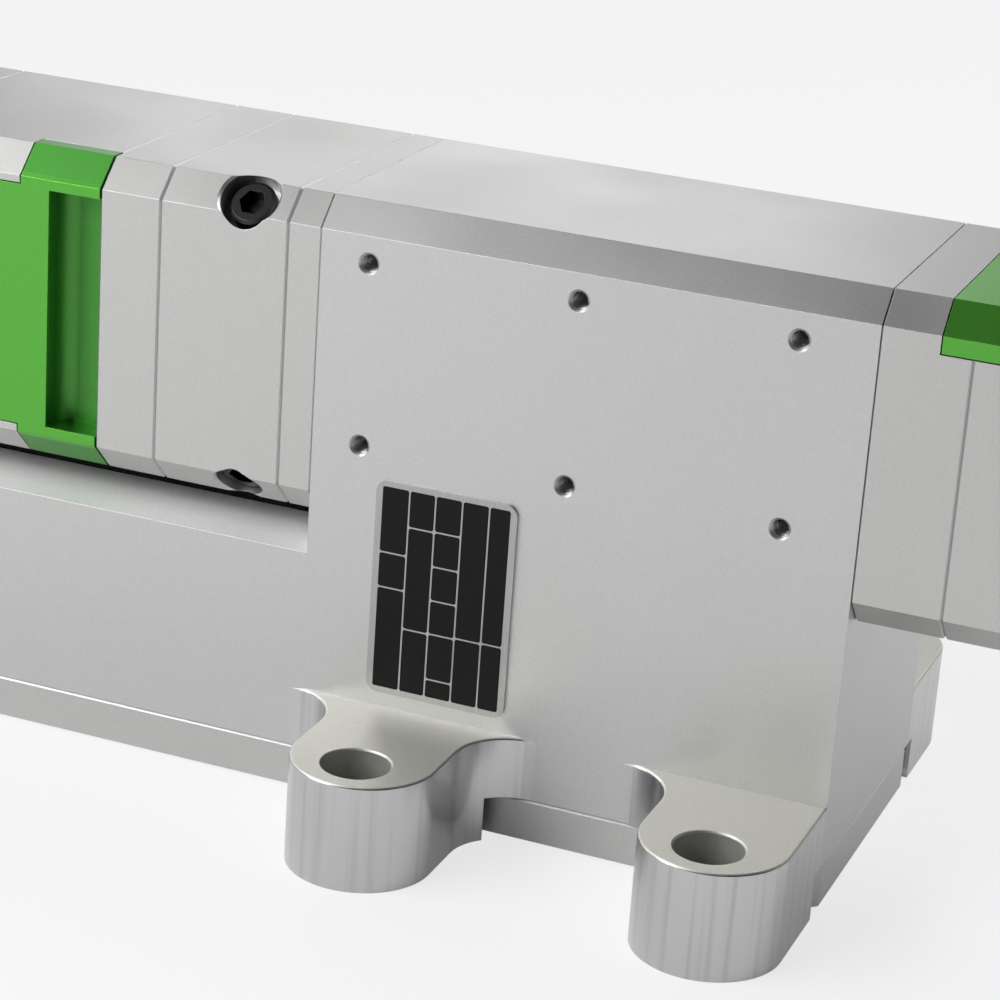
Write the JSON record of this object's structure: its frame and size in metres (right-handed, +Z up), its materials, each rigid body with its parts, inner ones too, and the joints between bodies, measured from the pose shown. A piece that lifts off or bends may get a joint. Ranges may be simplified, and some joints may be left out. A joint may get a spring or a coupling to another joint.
{
  "type": "laser cutting head",
  "caption": "Square-section laser cutting head with mounting lugs, motor-driven focus lens, lens centring screws, green window drawers, fibre socket and sensing nozzle.",
  "frame": {"origin": "middle of the four mounting lugs' hole pattern, on the mounting plane", "axes": "+X along the optical axis towards the nozzle, +Z up from the mounting plane, so the head lies on its mounting face"},
  "size_m": [0.336, 0.114, 0.101],
  "materials": {
    "silver_anodised": "bead blasted and anodised, satin",
    "machined_aluminium": "machined",
    "green_anodised": "bead blasted and anodised green, satin",
    "black_anodised": "anodised black, satin",
    "black_plastic": "matte",
    "seal_rubber": "moulded",
    "motor_black": "painted black",
    "plate_metal": "satin plate with printed fields",
    "dark_steel": "blackened",
    "bright_steel": "ground",
    "brass": "turned",
    "copper": "turned",
    "white_ceramic": "fired, satin",
    "optical_glass": "polished"
  },
  "bodies": {
    "head": {"main_body": "silver_anodised", "back_cover": "silver_anodised", "spacer_plate": "silver_anodised", "centring_block": "silver_anodised", "ring_block": "silver_anodised", "fibre_end_block": "silver_anodised", "fibre_receptacle": "silver_anodised", "seal_block": "silver_anodised", "window_housing": "silver_anodised", "gas_block": "silver_anodised", "sensor_mount": "silver_anodised", "sensor_body": "silver_anodised", "bearing_blocks": "machined_aluminium", "receptacle_end_cap": "black_anodised", "stack_support_strip": "black_plastic", "home_sensor": "black_plastic", "window_seals": "seal_rubber", "drive_motor": "motor_black", "data_plate": "plate_metal", "back_cover_screws": "dark_steel", "left_tie_screws": "dark_steel", "right_tie_screws": "dark_steel", "sensor_mount_screws": "dark_steel", "motor_screws": "dark_steel", "guide_rails": "bright_steel", "screw_bearings": "bright_steel", "ceramic_nut": "bright_steel", "drive_connector": "bright_steel", "gas_fitting": "brass", "sensor_connector": "brass", "nozzle": "copper", "ceramic_ring": "white_ceramic"},
    "focus_carriage": {"focus_carriage": "machined_aluminium", "guide_blocks": "bright_steel", "screw_nut": "brass", "focus_lens_cell": "black_anodised", "focus_lens": "optical_glass", "focus_lens_retainer": "brass"},
    "drive_screw": {"lead_screw": "bright_steel", "shaft_coupling": "machined_aluminium", "motor_shaft": "bright_steel"},
    "upper_drawer": {"upper_drawer_front": "green_anodised", "upper_drawer_tray": "bright_steel", "upper_window": "optical_glass", "upper_window_retainer": "brass"},
    "lower_drawer": {"lower_drawer_front": "green_anodised", "lower_drawer_tray": "bright_steel", "lower_window": "optical_glass", "lower_window_retainer": "brass"},
    "locking_ring": {"locking_ring": "black_anodised"},
    "centring_slide": {"centring_slide": "machined_aluminium"},
    "adjusting_screw_a": {"adjusting_screw_a": "dark_steel"},
    "collimator_cell": {"collimator_cell": "machined_aluminium", "collimator_lens": "optical_glass", "collimator_retainer": "black_anodised"},
    "adjusting_screw_b": {"adjusting_screw_b": "dark_steel"}
  },
  "joints": [
    {"name": "focus_slide", "type": "slide", "parent": "head", "child": "focus_carriage", "axis": [1, 0, 0], "range_m": [-0.0085, 0.0085]},
    {"name": "lead_screw_turn", "type": "hinge", "parent": "head", "child": "drive_screw", "pos_m": [-0.01, 0, 0.0225], "axis": [1, 0, 0], "range_deg": [-1530, 1530]},
    {"name": "upper_drawer_slide", "type": "slide", "parent": "head", "child": "upper_drawer", "axis": [0, -1, 0], "range_m": [0, 0.034]},
    {"name": "lower_drawer_slide", "type": "slide", "parent": "head", "child": "lower_drawer", "axis": [0, 0, 1], "range_m": [0, 0.034]},
    {"name": "locking_ring_turn", "type": "hinge", "parent": "head", "child": "locking_ring", "pos_m": [-0.152, 0, 0.0745], "axis": [1, 0, 0], "range_deg": [0, 60]},
    {"name": "centring_a_slide", "type": "slide", "parent": "head", "child": "centring_slide", "axis": [0, -0.7071, -0.7071], "range_m": [-0.0008, 0.0008]},
    {"name": "adjust_a_turn", "type": "hinge", "parent": "head", "child": "adjusting_screw_a", "pos_m": [-0.0631, -0.0242, 0.0503], "axis": [0, -0.7071, -0.7071], "range_deg": [-576, 576]},
    {"name": "centring_b_slide", "type": "slide", "parent": "centring_slide", "child": "collimator_cell", "axis": [0, -0.7071, 0.7071], "range_m": [-0.0008, 0.0008]},
    {"name": "adjust_b_turn", "type": "hinge", "parent": "centring_slide", "child": "adjusting_screw_b", "pos_m": [-0.0631, -0.0242, 0.0987], "axis": [0, -0.7071, 0.7071], "range_deg": [-576, 576]}
  ],
  "couplings": [
    {"joint": "lead_screw_turn", "follows": "focus_slide", "rad_per_m": 3141.6},
    {"joint": "adjust_a_turn", "follows": "centring_a_slide", "rad_per_m": 12566},
    {"joint": "adjust_b_turn", "follows": "centring_b_slide", "rad_per_m": 12566}
  ]
}
